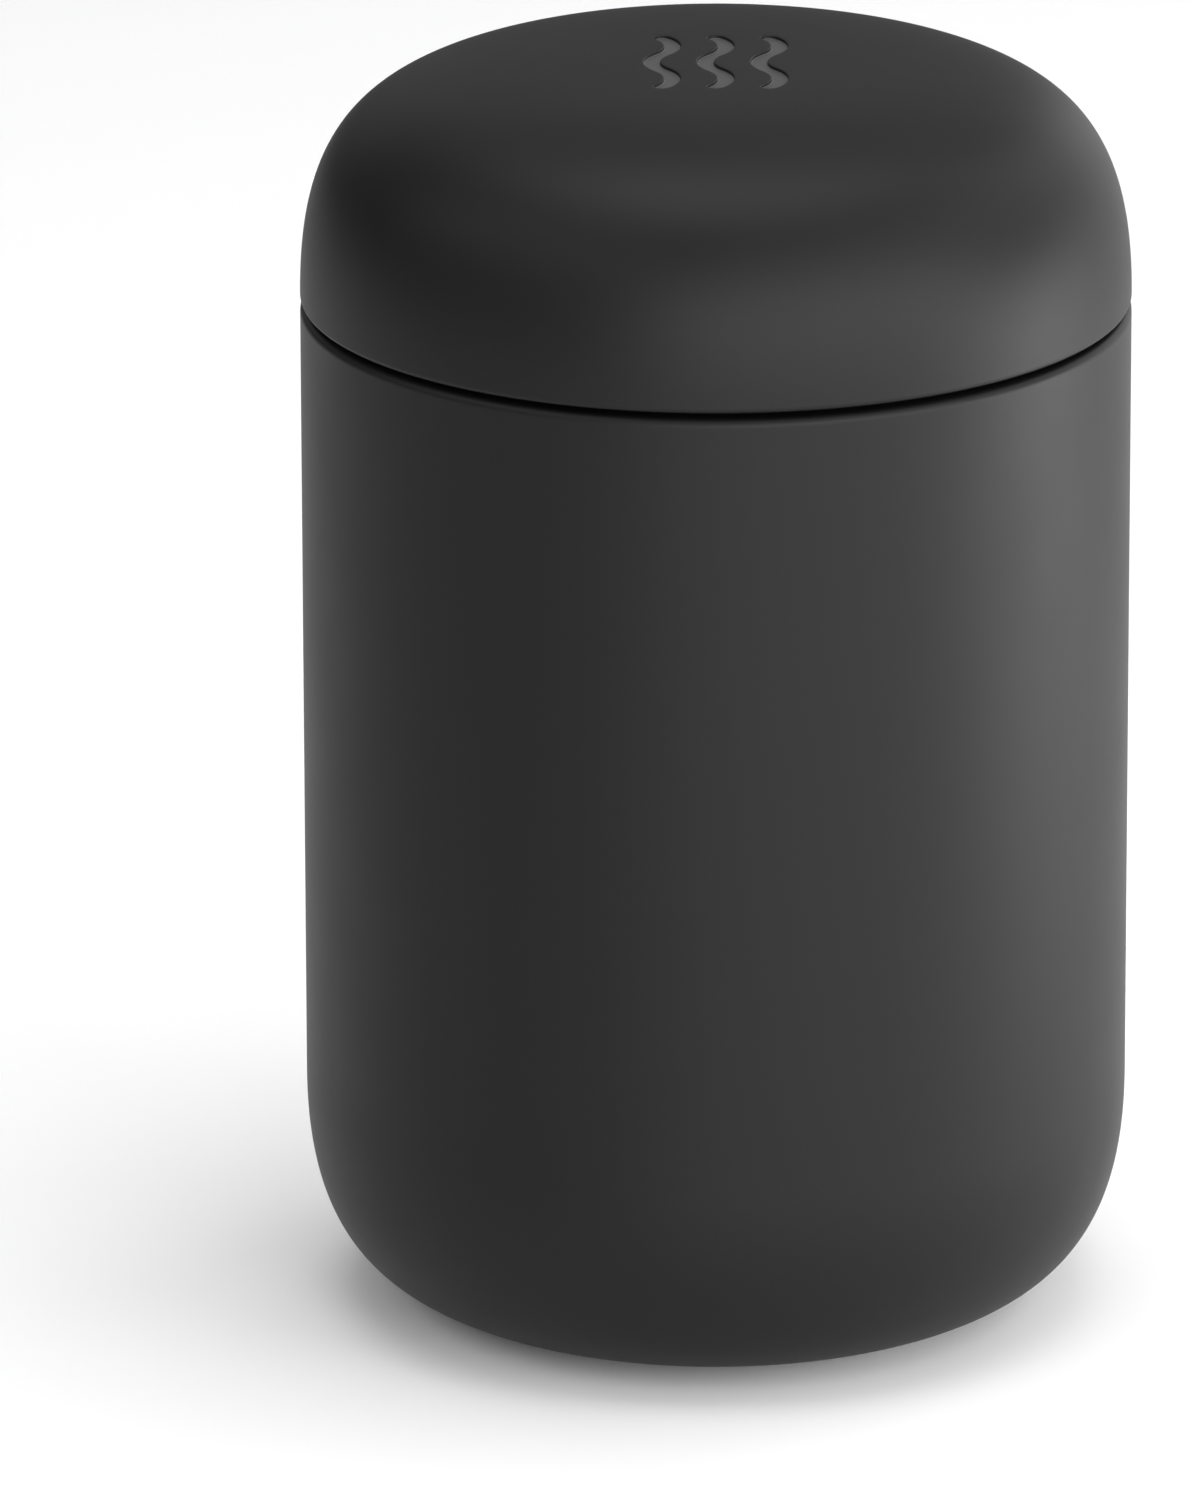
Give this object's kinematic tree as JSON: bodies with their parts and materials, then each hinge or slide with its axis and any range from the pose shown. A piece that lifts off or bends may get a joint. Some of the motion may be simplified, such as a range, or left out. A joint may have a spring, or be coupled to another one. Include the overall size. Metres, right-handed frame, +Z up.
{
  "type": "insulated screw-lid mug",
  "caption": "Cylindrical double-wall vacuum mug with a rounded base, a domed screw-on lid and a lift-out splash guard.",
  "frame": {"origin": "centre of the foot pad's underside, on the surface the mug stands on", "axes": "+Z up along the mug's axis, towards the lid; -Y is the front, from which the mark on the lid reads upright"},
  "size_m": [0.084, 0.084, 0.1302],
  "materials": {
    "coated_steel": "matte",
    "lid_plastic": "matte",
    "liner_steel": "satin",
    "foil": "gloss",
    "inner_plastic": "satin",
    "silicone": "matte",
    "foam": "matte",
    "solder_glass": "gloss",
    "getter_metal": "matte",
    "adhesive": "satin"
  },
  "bodies": {
    "mug": {"outer_shell": "coated_steel", "base_plate": "liner_steel", "liner_wall": "liner_steel", "liner_base": "liner_steel", "foil_wrap": "foil", "foil_disc": "foil", "getter": "getter_metal", "getter_strap": "liner_steel", "exhaust_seal": "solder_glass", "pad_adhesive": "adhesive", "foot_pad": "silicone"},
    "guard": {"splash_guard": "inner_plastic", "guard_seal": "silicone"},
    "lid_core": {"lid_foam": "foam"},
    "lid": {"lid_dome": "lid_plastic", "lid_plug": "inner_plastic", "lid_gasket": "silicone"}
  },
  "joints": [
    {"name": "lid_lift", "type": "slide", "parent": "mug", "child": "lid_core", "axis": [0, 0, 1], "range_m": [0, 0.048]},
    {"name": "lid_turn", "type": "hinge", "parent": "lid_core", "child": "lid", "pos_m": [0, 0, 0.105], "axis": [0, 0, 1], "range_deg": [0, 1440]},
    {"name": "guard_lift", "type": "slide", "parent": "mug", "child": "guard", "axis": [0, 0, 1], "range_m": [0, 0.004]}
  ],
  "couplings": [
    {"joint": "lid_lift", "follows": "lid_turn", "m_per_rad": 0.0019099}
  ]
}
